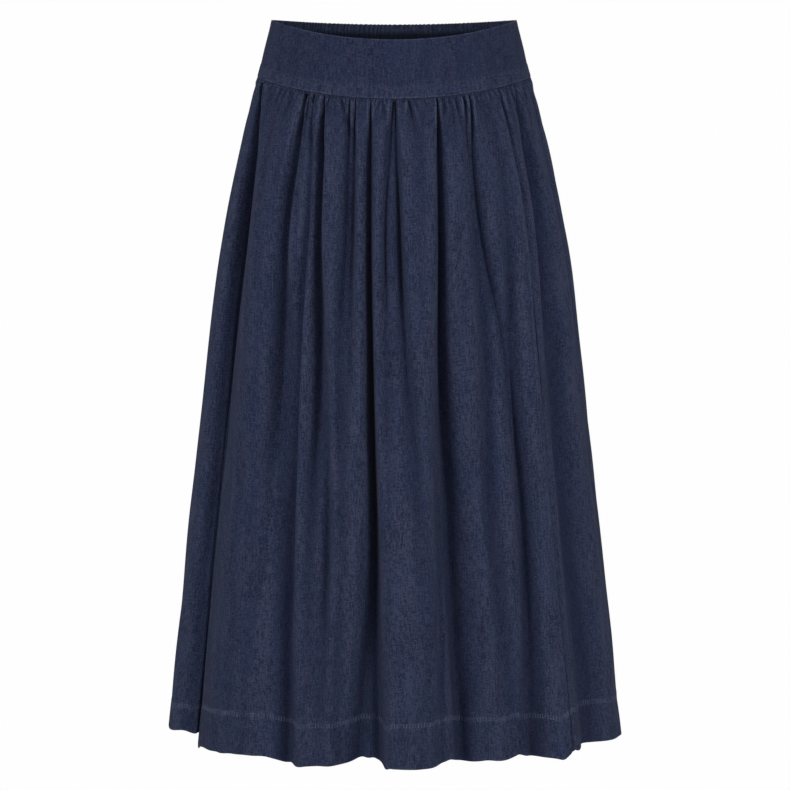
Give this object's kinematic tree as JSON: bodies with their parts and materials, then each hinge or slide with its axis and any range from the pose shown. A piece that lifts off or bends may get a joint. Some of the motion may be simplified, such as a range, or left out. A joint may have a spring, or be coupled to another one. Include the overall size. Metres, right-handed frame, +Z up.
{
  "type": "gathered denim midi skirt",
  "caption": "Worn denim midi skirt with a wide smooth waistband and gathered panels that fall in long folds to a stitched hem, kept hollow.",
  "frame": {"origin": "centre of the waist opening, level with the middle height of the waistband's top edge, where the wearer holds the skirt up", "axes": "+Z up along the wearer, the front of the skirt faces -Y, +X is the right-hand side seen from the front"},
  "size_m": [0.4925, 0.2967, 0.768],
  "materials": {
    "waistband_front": "matt indigo denim twill",
    "waistband_back": "matt indigo denim twill",
    "skirt_front": "matt indigo denim twill",
    "skirt_back": "matt indigo denim twill"
  },
  "bodies": {
    "root": {"waistband_front": "waistband_front", "waistband_back": "waistband_back", "skirt_front": "skirt_front", "skirt_back": "skirt_back"}
  },
  "joints": []
}
